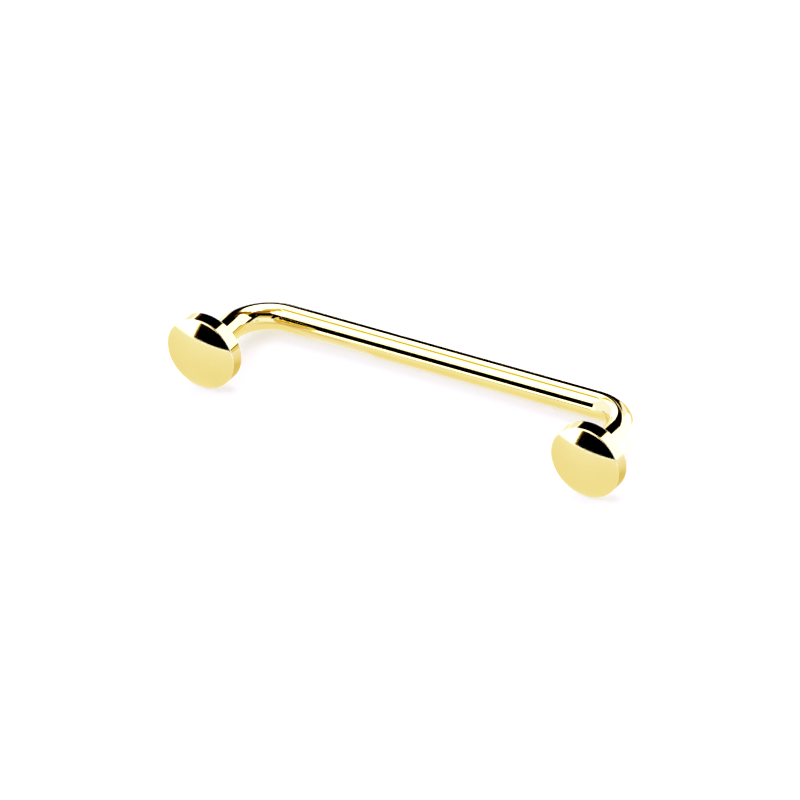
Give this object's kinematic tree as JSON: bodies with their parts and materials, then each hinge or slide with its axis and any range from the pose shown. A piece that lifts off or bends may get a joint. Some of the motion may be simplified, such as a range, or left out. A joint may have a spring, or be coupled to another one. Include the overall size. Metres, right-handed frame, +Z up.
{
  "type": "surface barbell",
  "caption": "Gold-coloured staple-shaped body bar: round wire with right-angle bends and a domed disc screwed on each short leg, lying on its side.",
  "frame": {"origin": "on the floor, under the middle of the outline seen from above", "axes": "+Z up; +X along the bar, from the left disc to the right disc; -Y the side that the legs point to, rising about 16 degrees because the piece lies on the wire and on the rims of its discs"},
  "size_m": [0.0302, 0.0068, 0.0045],
  "materials": {
    "polished_gold": "mirror-polished gold-coloured coating on titanium"
  },
  "bodies": {
    "root": {"staple_bar": "polished_gold", "left_disc": "polished_gold", "right_disc": "polished_gold"}
  },
  "joints": []
}
